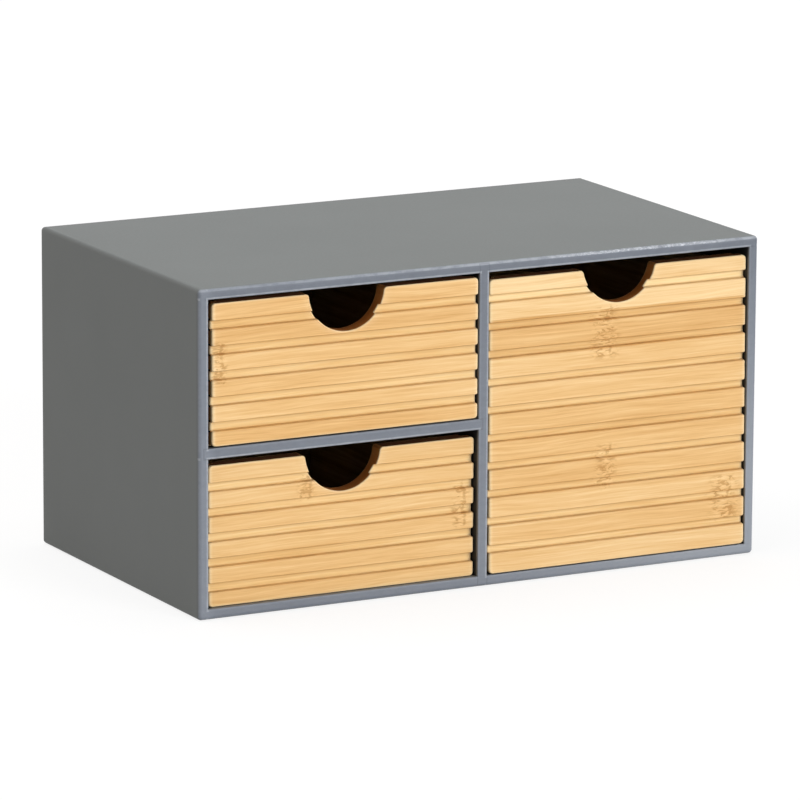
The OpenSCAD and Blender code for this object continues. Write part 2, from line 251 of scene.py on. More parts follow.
def level_board(name, over, material):
    """The top or the bottom: its outline in y and z carried along x between the sides' lips.

    The outline has the outer rounding at its front and rear, a fine arris inside, and the
    rebate for the back panel. It is drawn as the top, and turned over for the bottom.
    """
    top, rest, arris_rest = CASE_H, OUTER_R * PAST, ARRIS_R * PAST
    face_top = top - OUTER_R * 1.1
    ledge_z = CEILING_Z + LEDGE
    outline = np.concatenate([
        [[PANEL_Y, CEILING_Z], [PANEL_Y, ledge_z], [REAR_Y, ledge_z]],
        arc((REAR_Y - OUTER_R, top - OUTER_R), OUTER_R, 0),
        [[REAR_Y - rest, top], [FRONT_Y + rest, top]],
        arc((FRONT_Y + OUTER_R, top - OUTER_R), OUTER_R, 1),
        [[FRONT_Y, face_top], [FRONT_Y, CEILING_Z + arris_rest]],
        arc((FRONT_Y + ARRIS_R, CEILING_Z + ARRIS_R), ARRIS_R, 2, ARRIS_STEPS),
        [[FRONT_Y + arris_rest, CEILING_Z]],
    ])
    middle = np.array([0.0, (ledge_z + top) / 2])
    if not over:
        outline[:, 1], middle[1] = CASE_H - outline[:, 1], CASE_H - middle[1]
    return carried(name, outline, [-SHOULDER_X, SHOULDER_X], middle, (0, 1, 2), material)


def plain_outline(low, high, near, far):
    """A board's outline, from low to high across and from near to far back, with two arrises."""
    rest = ARRIS_R * PAST
    return np.concatenate([
        arc((low + ARRIS_R, near + ARRIS_R), ARRIS_R, 2, ARRIS_STEPS),
        [[low + rest, near], [high - rest, near]],
        arc((high - ARRIS_R, near + ARRIS_R), ARRIS_R, 3, ARRIS_STEPS),
        [[high, near + rest], [high, far], [low, far], [low, near + rest]],
    ])


def side_board(name, sign, material):
    """A side: its outline in x and y at every height z, drawn as the right one.

    Near the top and the bottom the outer faces fall back by r - sqrt(r^2 - (r - t)^2) at t
    from the end, and the corners' radius shrinks by as much, so that edges and corners are
    round. The lip beyond the shoulder carries the top and bottom boards, and the rear
    rebate takes the back panel. Each starts and stops between two heights that weld into one.
    """
    step = 0.1 / 10**DECIMALS
    low = np.concatenate([
        round_levels(OUTER_R)[:-1],
        [BOARD_T - LEDGE - step, BOARD_T - LEDGE + step, BOARD_T - step, BOARD_T + step],
    ])
    z = np.concatenate([low, CASE_H - low[::-1]])[:, None]
    from_end = np.minimum(z, CASE_H - z)
    fall = rounding(from_end, OUTER_R)
    lip, rebated = from_end < BOARD_T, from_end > BOARD_T - LEDGE
    inner_x, arris = np.where(lip, SHOULDER_X, INNER_X), np.where(lip, 0.0, ARRIS_R)
    front, rear = FRONT_Y + fall, REAR_Y - fall
    outer_x, centre_x = CASE_W / 2 - fall, CASE_W / 2 - OUTER_R

    def points(x, y):
        """Columns of the outline, from x and y at every height."""
        return np.stack(np.broadcast_arrays(x, y + 0 * z), axis=-1)

    turned = arc((0, 0), 1.0, 2, ARRIS_STEPS)
    corner = arc((0, 0), 1.0, 3)
    radius = OUTER_R - fall
    parts = [
        points(inner_x + arris * (1 + turned[:, 0]), front + arris * (1 + turned[:, 1])),
        points(np.full_like(z, SHOULDER_X), front),
        points(centre_x + radius * corner[:, 0], front + radius * (1 + corner[:, 1])),
        points(outer_x, FRONT_Y + OUTER_R * PAST), points(outer_x, REAR_Y - OUTER_R * PAST),
        points(centre_x + radius * corner[::-1, 0], rear - radius * (1 + corner[::-1, 1])),
        points(np.full_like(z, PANEL_X), rear),
        points(np.where(rebated, PANEL_X, SHOULDER_X), np.where(rebated, PANEL_Y, rear)),
        points(np.full_like(z, SHOULDER_X), np.where(rebated, PANEL_Y, rear)),
        points(inner_x, PANEL_Y), points(inner_x, front + ARRIS_R * PAST),
    ]
    outline = np.concatenate(parts, axis=1)
    outline[..., 0] *= sign
    middle = (sign * (SHOULDER_X + centre_x) / 2, 0.0)
    return carried(name, outline, z[:, 0], middle, (2, 0, 1), material)


def case_boards(material):
    """The six painted boards by node. The divider stands a hair proud of the top and bottom,
    and the shelf of the divider and the left side, so that their let-in ends show."""
    half = BOARD_T / 2
    upright = plain_outline(-half, half, FRONT_Y - PROUD, PANEL_Y)
    shelf = plain_outline(SHELF_Z - half, SHELF_Z + half, FRONT_Y - 2 * PROUD, PANEL_Y)
    reach = (BOARD_T - HOUSING, CEILING_Z + HOUSING)
    across = (-SHOULDER_X, HOUSING - half)
    return {
        "left_side_panel": side_board("left_side_board", -1, material),
        "right_side_panel": side_board("right_side_board", 1, material),
        "top_panel": level_board("top_board", True, material),
        "bottom_panel": level_board("bottom_board", False, material),
        "centre_divider": carried("divider_board", upright, reach, (0.0, 0.0), (2, 0, 1), material),
        "shelf": carried("shelf_board", shelf, across, (SHELF_Z, 0.0), (0, 2, 1), material),
    }


# ---------------------------------------------------------------- bamboo fronts
# What a front's mesh carries beside its shape: the paleness of its glued strip, how
# rubbed its rims are, with a painted highlight, how burnt by the saw its cut faces are, with
# painted shade, and how deep in a groove, by which the groove floors are painted lighter against
# their shade
FRONT_MARKS = ("strip", "rubbed", "burnt", "deep")
HIGHLIT_RUB_COLUMN, BURN_SHADE_COLUMN, DEEP = (3 + FRONT_MARKS.index(mark) for mark in ("rubbed", "burnt", "deep"))

# Painted shadow on a groove's wall under a reed, and saw burn with painted shade on top of one,
# by the distance outside the wall
PAINTED_SHADOW_UNDER_REED = ([-1.0, -0.3, 0.1, 0.4], [0, 0.42, 0.42, 0])
REED_TOP_BURN_SHADE = ([-0.5, -0.1, 0.3, 0.8], [0, 0.3, 0.28, 0])
# Saw burn in the notch, with painted shade that deepens towards its bottom, by the depth under its
# centre as a share of its radius
BURN_SHADE_IN_NOTCH = ([0.1, 0.4, 0.75, 1.0], [0.92, 0.95, 1.0, 1.35])
# Near-black painted shade with some saw burn on the edges at the foot and the top, where the
# gaps shade them, and burn on the rear face
FOOT_SHADE_BURN, TOP_SHADE_BURN, BURN_BEHIND = 2.0, 1.7, 0.2
# Burn with near-black painted shade, and rubbing with a painted highlight, on an upright end, in
# columns from the face to the rear
END_BURN_SHADE = [0.0, 0.3, 0.5, 2.0, 2.0, 2.0]
END_HIGHLIGHT_RUB = [1.0, 0.2, 0.0, 0.0, 0.0, 0.0]
# How far the rubbing and its painted highlight reach in from the ends and the rims, and their
# strength at the rims
HIGHLIGHT_RUB_FROM_END, HIGHLIGHT_RUB_FROM_RIM, RIM_HIGHLIGHT_RUB = 1.1, 0.5, 0.8
# How far inside an edge its burn and painted shade are full, and the width of a rubbed, highlit
# upright edge
BURN_SHADE_STEP, END_EDGE = 0.25, 0.3
# Half the width of a change from strip to strip and of the rebate's step, the distance from
# that step to the first plain column, and how far the rebate's shelf clears the grooves
STRIP_SEAM, REBATE_SEAM, PLAIN_START, SHELF_CLEAR = 0.1, 0.01, 0.5, 0.05


def reed_table(gap):
    """Depth across one groove wall against the distance outside the wall, as two rows.

    Floor, a quarter circle at its foot, the wall with a slight lean, and the quarter circle
    of the reed's edge.
    """
    turn = np.linspace(0, QUARTER, ARRIS_STEPS + 1)
    floor = [[-gap / 2, -2 * GROOVE_FOOT_R], [REED_DEPTH, REED_DEPTH]]
    foot = [GROOVE_FOOT_R * (np.sin(turn) - 1), REED_DEPTH - GROOVE_FOOT_R * (1 - np.cos(turn))]
    edge = [WALL_LEAN + REED_EDGE_R * (1 - np.cos(turn)), REED_EDGE_R * (1 - np.sin(turn))]
    top = [[WALL_LEAN + REED_EDGE_R * PAST], [0.0]]
    return np.concatenate([floor, foot, edge, top], axis=1)


def bamboo_front(name, d, material):
    """A reeded front: a thick sheet over rows of height z and columns of width x.

    Depth of the face = groove profile of z + rounding by the distance to the end
    + rounding by the distance to the top, bottom or notch edge + lean (2 z / height - 1).
    The columns nearest the notch are circles round its centre,
    x = -sqrt((R + t)^2 - (z - zn)^2), which run out on the centre line under the notch. The
    right half is the left one mirrored.
    """
    half, height, gap = d["width"] / 2, d["height"], d["gap"]
    notch_z = height + d["notch_rise"]
    top_groove = height - d["top_reed"] - gap / 2
    grooves = np.arange(top_groove, LEAST_REED + gap / 2, -d["pitch"])
    wall_x, wall_depth = reed_table(gap)

    mouth_z = height - MOUTH_R
    share = (notch_z - mouth_z) / (NOTCH_R + MOUTH_R)
    mouth_x = -math.sqrt((NOTCH_R + MOUTH_R) ** 2 - (notch_z - mouth_z) ** 2)
    strip_lows, strip_tones = np.array(d["strips"]).T
    strip_lows = strip_lows[1:] - d["foot"]

    rim, corner = round_levels(RIM_R), round_levels(d["corner_r"])
    swing = np.radians(np.arange(NOTCH_TURN, 90, NOTCH_TURN))
    mouth_turn = np.linspace(0, QUARTER, CURVE_STEPS + 1)
    reed_corner = WALL_LEAN + round_levels(REED_CORNER_R, REED_CORNER_STEPS)
    groove_rows = np.concatenate([wall_x, reed_corner])
    z = np.concatenate([
        rim, height - rim, corner, height - corner,
        (grooves[:, None] + gap / 2 + groove_rows).ravel(),
        (grooves[:, None] - gap / 2 - groove_rows).ravel(),
        notch_z - NOTCH_R - rim, notch_z - NOTCH_R * np.cos(swing),
        mouth_z + MOUTH_R * np.sin(mouth_turn), strip_lows - STRIP_SEAM, strip_lows + STRIP_SEAM,
        [0.0, height, notch_z - NOTCH_R],
    ])
    z = np.unique(np.round(z[(z >= 0) & (z <= height)], DECIMALS))
    strip = strip_tones[np.searchsorted(strip_lows, z)]
    tilt = d["lean"] * (2 * z / height - 1)

    beyond_wall = np.abs(z[:, None] - grooves).min(axis=1) - gap / 2
    reeds = np.interp(beyond_wall, wall_x, wall_depth)
    over_groove = np.sign(z - grooves[np.abs(z[:, None] - grooves).argmin(axis=1)])
    shadow_under_reed = np.interp(beyond_wall, *PAINTED_SHADOW_UNDER_REED)
    burn_shade_on_reed = np.interp(beyond_wall, *REED_TOP_BURN_SHADE)
    groove_burn_shade = np.where(over_groove > 0, shadow_under_reed, burn_shade_on_reed)
    back_half = half - rounding(np.minimum(z, height - z), d["corner_r"])
    in_reed = np.clip(beyond_wall / WALL_LEAN, 0, 1) * rounding(
        np.clip(beyond_wall - WALL_LEAN, 0, None), REED_CORNER_R
    )
    face_half = back_half - in_reed

    def ring_x(inset):
        """x of the curve at an inset from the notch and its mouth, for every row."""
        circle = -np.sqrt(np.clip((NOTCH_R + inset) ** 2 - (z - notch_z) ** 2, 0, None))
        rise = np.clip(z - mouth_z, 0, None)
        lip = mouth_x + np.sqrt(np.clip((MOUTH_R - inset) ** 2 - rise**2, 0, None))
        return np.where(z > notch_z - (NOTCH_R + inset) * share, lip, circle)

    rings = np.stack([ring_x(inset) for inset in rim[::-1]], axis=1)
    step = half - REBATE_X
    ends = np.append(round_levels(END_R), END_R * 2)
    inner = np.linspace(0, 1, PLAIN_COLUMNS + 1)[None, :-1]

    def columns(edge):
        """x of every row's columns: the rounded end, the rebate's step, plain ones, the notch's."""
        lead = -edge[:, None] + ends[None, :]
        pair = np.repeat([[-step - REBATE_SEAM, -step + REBATE_SEAM]], len(z), axis=0)
        start = pair[:, -1:] + PLAIN_START
        between = start + (rings[:, :1] - start) * inner
        return np.concatenate([lead, pair, between, rings], axis=1)

    def rim_distance(x):
        """Distance to the nearest of the bottom edge, the top edge and the notch."""
        high = np.repeat(z[:, None], x.shape[1], axis=1)
        notch = np.hypot(x, high - notch_z) - NOTCH_R
        lip = MOUTH_R - np.hypot(x - mouth_x, high - mouth_z)
        in_lip = (x >= mouth_x) & (high > notch_z - (NOTCH_R + MOUTH_R - lip) * share)
        top = np.where(x < mouth_x, height - high, np.inf)
        return np.minimum(np.minimum(high, top), np.where(in_lip, lip, notch))

    def place(x, depth, rubbed, burnt, deep=0.0):
        """Points in the part's frame, from x across the front and depth behind its face, with marks."""
        high, depth, *marks = (
            np.broadcast_to(value, x.shape)
            for value in (z[:, None], depth, strip[:, None], rubbed, burnt, deep)
        )
        return np.stack([d["centre"] + x, d["face"] + depth, d["foot"] + high, *marks], axis=-1)

    x_face, x_back = columns(face_half), columns(back_half)
    from_end, from_rim = x_face + face_half[:, None], rim_distance(x_face)
    face = reeds[:, None] + rounding(from_end, END_R) + rounding(from_rim, RIM_R) + tilt[:, None]
    end_rub_highlight, rim_rub_highlight = np.exp(-((from_end / HIGHLIGHT_RUB_FROM_END) ** 2)), np.exp(-((from_rim / HIGHLIGHT_RUB_FROM_RIM) ** 2))
    rubbed = np.maximum(end_rub_highlight, RIM_HIGHLIGHT_RUB * rim_rub_highlight)
    rebated = x_back < -step
    back = np.where(rebated, REBATE_Y, FRONT_T) - np.where(
        rebated, 0, rounding(rim_distance(x_back), REAR_RIM_R)
    )
    near = place(x_face, face, rubbed, groove_burn_shade[:, None], reeds[:, None] / REED_DEPTH)
    far = place(x_back, back, 0.0, BURN_BEHIND)

    front_y, rear_y = face[:, 0], back[:, 0]
    shelf_y = np.maximum(front_y, REED_DEPTH + SHELF_CLEAR + tilt)
    edge_y = np.minimum(front_y + END_EDGE, shelf_y)
    end_x = np.stack([x_face[:, 0]] * 3 + [x_back[:, 0]] * 3, axis=1)
    end_y = np.stack([front_y, edge_y, shelf_y, shelf_y, rear_y - BURN_SHADE_STEP, rear_y], axis=1)
    open_rows = z >= notch_z - NOTCH_R - 0.1 / 10**DECIMALS
    notch_burn_shade = np.interp((notch_z - z[open_rows]) / NOTCH_R, *BURN_SHADE_IN_NOTCH)

    def wall(near_edge, far_edge, cut_burn_shade):
        """The thickness of the sheet between an edge of its face and the same edge behind."""
        inside = np.stack([near_edge, far_edge])
        inside[0, :, 1] += BURN_SHADE_STEP
        inside[1, :, 1] -= BURN_SHADE_STEP
        # the cut faces take saw burn with painted shade
        inside[..., [HIGHLIT_RUB_COLUMN, DEEP]], inside[..., BURN_SHADE_COLUMN] = 0.0, cut_burn_shade
        return np.concatenate([near_edge[None], inside, far_edge[None]])

    left = [
        near, far, place(end_x, end_y, END_HIGHLIGHT_RUB, END_BURN_SHADE),
        wall(near[0], far[0], FOOT_SHADE_BURN), wall(near[-1], far[-1], TOP_SHADE_BURN),
        wall(near[open_rows, -1], far[open_rows, -1], notch_burn_shade),
    ]
    right = [grid.copy() for grid in left]
    for grid in right:
        grid[..., 0] = 2 * d["centre"] - grid[..., 0]
    return skin(name, left + right, material, marks=FRONT_MARKS)


# ---------------------------------------------------------------- shader sums
class Wire:
    """One shader socket. Sums on wires add Math nodes; numbers alone are worked out in Python."""

    def __init__(self, tree, socket=None):
        self.tree, self.socket = tree, socket

    def node(self, kind, settings=None, inputs=None, out=0):
        """Adds a node of a kind, with its settings first and then its sockets.

        A tuple for `out` gives as many wires, and None gives the node itself.
        """
        made = self.tree.nodes.new("ShaderNode" + kind)
        for word, value in (settings or {}).items():
            if word == "stops":
                ramp = made.color_ramp
                while len(ramp.elements) < len(value):
                    ramp.elements.new(1.0)
                for stop, (at, colour) in zip(ramp.elements, value):
                    stop.position, stop.color = at, colour
            else:
                setattr(made, word, value)
        for key, value in (inputs or {}).items():
            if isinstance(value, Wire):
                self.tree.links.new(value.socket, made.inputs[key])
            else:
                made.inputs[key].default_value = value
        if isinstance(out, tuple):
            return [Wire(self.tree, made.outputs[key]) for key in out]
        return made if out is None else Wire(self.tree, made.outputs[out])

    def sum(self, operation, *values):
        """A Math node of these values."""
        return self.node("Math", {"operation": operation}, dict(enumerate(values)))

    def __add__(self, other):
        return self.sum("ADD", self, other)

    def __sub__(self, other):
        return self.sum("SUBTRACT", self, other)

    def __rsub__(self, other):
        return self.sum("SUBTRACT", other, self)

    def __mul__(self, other):
        return self.sum("MULTIPLY", self, other)

    def __truediv__(self, other):
        return self.sum("DIVIDE", self, other)

    __radd__, __rmul__ = __add__, __mul__

    def size(self):
        """This value without its sign."""
        return self.sum("ABSOLUTE", self)

    def least(self, other):
        """The smaller of this value and another one."""
        return self.sum("MINIMUM", self, other)

    def most(self, other):
        """The larger of this value and another one."""
        return self.sum("MAXIMUM", self, other)

    def wave(self):
        """The sine of this value."""
        return self.sum("SINE", self)

    def ramp(self, low, high, start=0.0, end=1.0):
        """Smooth step from start to end as this value goes from low to high."""
        settings = {"interpolation_type": "SMOOTHSTEP"}
        return self.node("MapRange", settings, {0: self, 1: low, 2: high, 3: start, 4: end})

    def mixed(self, other, share, blend="MIX"):
        """This colour and another one, mixed by a share."""
        settings = {"data_type": "RGBA", "blend_type": blend}
        return self.node("Mix", settings, {0: share, 6: self, 7: other}, out=2)

    def tint(self, stops):
        """The colour of this value on a ramp of (place, colour) stops."""
        return self.node("ValToRGB", {"stops": stops}, {0: self})


def srgb(code):
    """Linear colour of a hexadecimal screen colour."""
    parts = np.array([int(code[i : i + 2], 16) for i in (0, 2, 4)]) / 255
    linear = np.where(parts <= 0.04045, parts / 12.92, ((parts + 0.055) / 1.055) ** 2.4)
    return (*linear.tolist(), 1.0)


class Finish:
    """A material being made: its tree, its object coordinates in millimetres, and its shader."""

    def __init__(self, name):
        self.material = bpy.data.materials.new(name)
        self.material.use_nodes = True
        self.tree = self.material.node_tree
        self.shader = self.tree.nodes["Principled BSDF"]
        self.start = Wire(self.tree)
        metres = self.start.node("TexCoord", out="Object")
        self.place = self.start.node("VectorMath", {"operation": "SCALE"}, {0: metres, "Scale": 1000.0})
        self.x, self.y, self.z = self.start.node("SeparateXYZ", {}, {0: self.place}, (0, 1, 2))

    def mark(self, name):
        """One of the values that a mesh carries for its material."""
        return self.start.node("Attribute", {"attribute_name": name}, out="Fac")

    def point(self, x, y, z):
        """A place made of three wires or numbers."""
        return self.start.node("CombineXYZ", {}, {0: x, 1: y, 2: z})

    def stretched(self, x, y, z):
        """The place scaled unevenly, for patterns that run with the grain."""
        return self.start.node("Mapping", {}, {0: self.place, "Scale": (x, y, z)})

    def noise(self, at, scale, detail=3.0, rough=0.55, warp=0.0):
        """Fractal noise at a place, from 0 to 1."""
        settings = {"noise_dimensions": "3D"}
        inputs = {"Vector": at, "Scale": scale, "Detail": detail, "Roughness": rough, "Distortion": warp}
        return self.start.node("TexNoise", settings, inputs)

    def finish(self, colour, rough, bump=None, strength=0.3, distance=0.0001, **fixed):
        """Links what varies to the shader and sets what doesn't on its own sockets."""
        links = {"Base Color": colour, "Roughness": rough}
        if bump is not None:
            links["Normal"] = self.start.node(
                "Bump", {}, {"Strength": strength, "Distance": distance, "Height": bump}
            )
        for key, value in {**links, **fixed}.items():
            key = key.replace("_", " ")
            if isinstance(value, Wire):
                self.tree.links.new(value.socket, self.shader.inputs[key])
            else:
                self.shader.inputs[key].default_value = value
        return self.material


def front_edges(m):
    """How far inside the outline of the boards' front edges a point lies, which arrises catch
    the light, as 1 beside them, and the outlines of the board ends that are let into others."""
    half = BOARD_T / 2
    post, top = (BOARD_T - CASE_W) / 2, CASE_H - half
    nearest = (m.x.size() + post).size().least(m.x.size())
    nearest = nearest.least((m.z - half).size()).least((m.z - top).size())
    nearest = nearest.least((m.z - SHELF_Z).size().most(m.x))
    turned = [m.x - post, m.x, top - m.z, (SHELF_Z - m.z) * m.x.ramp(0.1, -0.1)]
    lit = turned[0].ramp(0.6, 1.0) * turned[0].ramp(half + 0.3, half)
    for offset in turned[1:]:
        lit = lit.most(offset.ramp(0.6, 1.0) * offset.ramp(half + 0.3, half))
    line = None
    for x, z, half_width, half_height, axis, middle in BOARD_ENDS:
        beyond = ((m.x - x).size() - half_width).most((m.z - z).size() - half_height)
        held = (getattr(m, axis) - middle).size().ramp(half, half - 0.2)
        ring = beyond.size().ramp(0.4, 0.05) * held
        line = ring if line is None else line.most(ring)
    return half - nearest, lit, line


def painted_board():
    """Grey satin paint: a slight mottle, a fine roller texture, front edges painted bluer and lighter
    for the light on them, arrises with painted highlights and some rubbed paint, filled joints,
    painted light towards the low right, and painted shade that darkens the bays inside."""
    m = Finish("grey_satin_paint")
    broad = m.noise(m.place, 0.02, 2)
    fine = m.noise(m.place, 0.9, 4, 0.6)
    roller = m.noise(m.place, 1.7, 3, 0.5)
    blots = m.noise(m.stretched(0.28, 0.6, 0.5), 1.0, 3, 0.6)
    tone = (broad - 0.5) * 0.5 + (fine - 0.5) * 0.35 + 0.5
    over = m.z.ramp(CASE_H - OUTER_R, CASE_H - 0.1)
    # painted light and shade: the top lighter to the right, and the sides darker towards the rear, as the
    # light falls
    painted_light_right_of_top = (m.x / CASE_W - 0.45) * 0.25 * over
    painted_shade_rear_of_sides = m.y / CASE_D * 0.2 * (1.0 - over)
    face = (tone + painted_light_right_of_top - painted_shade_rear_of_sides).tint([(0.0, srgb("5c605f")), (1.0, srgb("6a6e6d"))])
    low, right = 1.0 - m.z / CASE_H, m.x / CASE_W + 0.5
    # painted light: the front edges lighter towards the low right and on the left post, where more light
    # falls
    painted_light_gain = low * 0.2 + right * right * right * low * 0.95 + m.x.ramp(-117.0, -121.0, 0.04, 0.22)
    # painted light: the front edges are painted bluer and lighter than the faces, standing in for the
    # cooler light on the front
    edge = (tone * 0.3 + (blots - 0.5) * 0.25 + painted_light_gain).tint([
        (0.0, srgb("5f656f")), (0.5, srgb("7b818b")), (1.0, srgb("90969f")),
    ])
    on_edge = m.y.ramp(FRONT_Y + OUTER_R, FRONT_Y + 0.3)
    inset, lit, joints = front_edges(m)
    joints = joints * on_edge
    # painted highlight on the arrises that face the light, with a little rubbed paint
    arris = inset.ramp(0.0, 0.25) * inset.ramp(1.05, 0.55) * (lit * 0.45 + 0.1)
    arris = arris * blots.ramp(0.3, 0.6, 0.6, 1.0)
    # painted highlight along the top front arris, brighter to the right, with some worn paint
    top_arris_highlight = m.z.ramp(CASE_H - 1.3, CASE_H - 0.8) * m.x.ramp(-110.0, 20.0, 0.34, 0.66)
    top_arris_highlight = top_arris_highlight * blots.ramp(0.3, 0.6, 0.5, 1.0)
    # painted shade: the inside of the bays darkens to near black from just behind the front edges
    level_face = m.z.ramp(SHELF_Z + 2.2, SHELF_Z + 1.8).most(m.z.ramp(SHELF_Z + 2.3, SHELF_Z + 2.7))
    depth = m.y - FRONT_Y - (1.0 - level_face) * 1.1 - m.z.ramp(BOARD_T + 0.2, BOARD_T) * 1.5
    inside = depth.ramp(0.5, 1.8) * m.x.size().ramp(CASE_W / 2 - 3.8, CASE_W / 2 - 4.1)
    bay_z = (BOARD_T - 0.3, BOARD_T - 0.1)
    inside = inside * m.z.ramp(*bay_z) * (CASE_H - m.z).ramp(*bay_z)
    # painted glints with rubbed paint, in the top arris's highlight
    rubbed_glint_specks = m.noise(m.stretched(0.8, 1.5, 1.5), 1.0, 3, 0.7).ramp(0.47, 0.6)
    rubbed_glint_specks = rubbed_glint_specks * top_arris_highlight * m.x.ramp(15.0, 60.0) * m.x.ramp(118.0, 95.0) * on_edge
    # pale holds the painted highlights of the arrises and of the top arris
    pale = (arris.most(top_arris_highlight) * on_edge).least(1.0)
    colour = face.mixed(edge, on_edge).mixed(srgb("b3b8bf"), pale).mixed(srgb("dfe2e8"), rubbed_glint_specks.least(1.0))
    # the near-black mix is the painted shade inside the bays
    colour = colour.mixed(srgb("565b64"), joints * 0.35).mixed((0.008, 0.008, 0.009, 1), inside * 0.9)
    rough = 0.52 + (fine - 0.5) * 0.14 - pale * 0.1
    relief = roller * 0.35 + fine * 0.25 + blots * (0.2 + on_edge * 1.2) - joints * 0.8
    return m.finish(colour, rough, relief, 0.35, 0.0001, Specular_IOR_Level=0.3)


def node_marks(m):
    """The dark and the pale share of the bamboo's nodes: clusters of short wavy dashes
    round a broken upright line."""
    near = None
    line = None
    wobble = m.noise(m.stretched(0.0, 0.0, 0.35), 1.0, 2, 0.5)
    for x, z, half_width, half_height in NODE_MARKS:
        across = m.x - x + (wobble - 0.5) * 3.0
        up = (m.z - z) / half_height
        spot = (across / half_width).size().ramp(1.3, 0.3) * up.size().ramp(1.15, 0.75)
        upright = (across - 0.4 * half_width).size().ramp(0.9, 0.2) * up.size().ramp(1.0, 0.85)
        near = spot if near is None else near.most(spot)
        line = upright if line is None else line.most(upright)
    at = m.point(m.x * 0.2, m.y * 0.1, m.z * 0.62)
    dashes = m.noise(at, 1.0, 3, 0.6, 1.3)
    breaks = m.noise(m.stretched(0.3, 0.3, 0.35), 1.0, 2, 0.5)
    dark = near * dashes.ramp(0.5, 0.6) * 1.1 + line * breaks.ramp(0.42, 0.55) * 0.8
    pale = near * dashes.ramp(0.48, 0.33)
    return dark.least(1.0), pale


def bamboo():
    """Bamboo laid level: glued strips of slightly different tone, long drifting fibres, node
    marks, groove walls with saw burn and painted shade, near-black painted shade on the edges
    in the gaps, rubbed rims with a painted highlight, and groove floors painted lighter against
    their shade."""
    m = Finish("reeded_bamboo")
    strip, rubbed, burnt, deep = (m.mark(word) for word in FRONT_MARKS)
    drift = m.noise(m.stretched(0.011, 0.02, 0.03), 1.0, 2, 0.5)
    level = m.z + (drift - 0.5) * 7.0
    clouds = m.noise(m.point(m.x * 0.010, m.y * 0.05, level * 0.10), 1.0, 2, 0.5)
    streaks = m.noise(m.point(m.x * 0.018, m.y * 0.1, level * 0.7), 1.0, 4, 0.68, 0.25)
    fibres = m.noise(m.point(m.x * 0.05, m.y * 0.3, level * 2.4), 1.0, 3, 0.65)
    dark_mark, pale_mark = node_marks(m)
    tone = 0.5 + strip * 0.8 + (clouds - 0.5) * 0.35 + (streaks - 0.5) * 0.7 + (fibres - 0.5) * 0.48
    # painted light: deep brightens the groove floors, here and in the multiply below, against the shade in
    # them
    tone = tone + pale_mark * 0.12 - dark_mark * 0.1 + deep * 0.05
    wood = tone.tint([
        (0.02, srgb("b57f3f")), (0.26, srgb("d8a665")), (0.5, srgb("e8bc7e")), (0.86, srgb("f9d9a4")),
    ]).mixed((1.0, 1.065, 1.075, 1.0), deep, "MULTIPLY")
    wood = wood.mixed(srgb("a8702c"), dark_mark * 0.44)
    # rubbing on the rims and ends, with a painted highlight
    highlit_rub = rubbed * (0.25 + fibres * 0.9)
    worn_highlit = wood.mixed(srgb("ffe9bd"), highlit_rub.least(1.0))
    # groove-wall lines: saw burn with painted shadow under the reeds
    sawn_and_shaded = burnt.least(0.75) * (1.0 + (streaks - 0.5) * 2.0)
    colour = worn_highlit.mixed(srgb("a26d28"), sawn_and_shaded.least(1.0).most(0.0))
    # saw burn in the notch, and near-black painted shade on the cut edges in the gaps
    colour = colour.mixed(srgb("bc7030"), burnt.ramp(0.8, 1.0)).mixed(srgb("150c05"), burnt.ramp(1.0, 2.0))
    rough = 0.46 + (fibres - 0.5) * 0.2 + burnt.ramp(0.6, 1.0) * 0.5
    return m.finish(colour, rough, fibres + streaks * 0.4, 0.22, 0.00005, Specular_IOR_Level=0.2)


def glue_lines(m):
    """The two glue lines of each drawer side and back, as the planes in which the plies meet.

    They show only where an edge cuts through them. A side's plies lie across x, and a
    back's across y, between the sides.
    """
    line = None
    for drawer in DRAWERS:
        low, high = (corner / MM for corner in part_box(drawer + "_back"))
        middle, half = (low.x + high.x) / 2, (high.x - low.x) / 2
        between = (m.x - middle).size().ramp(half - 2.0, half - 2.2)
        spots = [((m.y - y).size(), between) for y in (low.y + PLY, high.y - PLY)]
        for side in ("_left_side", "_right_side"):
            low, high = (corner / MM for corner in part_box(drawer + side))
            spots += [((m.x - x).size(), 1.0) for x in (low.x + PLY, high.x - PLY)]
        for away, share in spots:
            glue = away.ramp(0.22, 0.06) * share
            line = glue if line is None else line.most(glue)
    return line


def plywood():
    """Pale three-ply board: grain along the drawer in its sides and bottom and across it in
    its back, fine pores, and dark glue lines in the edges."""
    m = Finish("pale_plywood")
    normal = m.start.node("NewGeometry", out="Normal")
    facing = m.start.node("SeparateXYZ", {}, {0: normal}, out=1).size().ramp(0.6, 0.8)
    along = m.noise(m.stretched(0.3, 0.012, 0.3), 1.0, 5, 0.62, 0.8)
    across = m.noise(m.stretched(0.012, 0.3, 0.3), 1.0, 5, 0.62, 0.8)
    grain = along + (across - along) * facing
    pores_along = m.noise(m.stretched(3.2, 0.09, 3.2), 1.0, 2, 0.6)
    pores_across = m.noise(m.stretched(0.09, 3.2, 3.2), 1.0, 2, 0.6)
    pores = pores_along + (pores_across - pores_along) * facing
    tone = 0.5 + (grain - 0.5) * 1.3 + (pores - 0.5) * 0.4
    wood = tone.tint([
        (0.1, srgb("a3824f")), (0.42, srgb("bf9f6d")), (0.62, srgb("ccb082")), (0.95, srgb("dcc59c")),
    ])
    glue = glue_lines(m)
    colour = wood.mixed(srgb("6e4c28"), pores.ramp(0.62, 0.8) * 0.25).mixed(srgb("5e4022"), glue * 0.7)
    rough, relief = 0.6 + (pores - 0.5) * 0.2, pores + grain * 0.5 - glue
    return m.finish(colour, rough, relief, 0.2, 0.00006, Specular_IOR_Level=0.3)


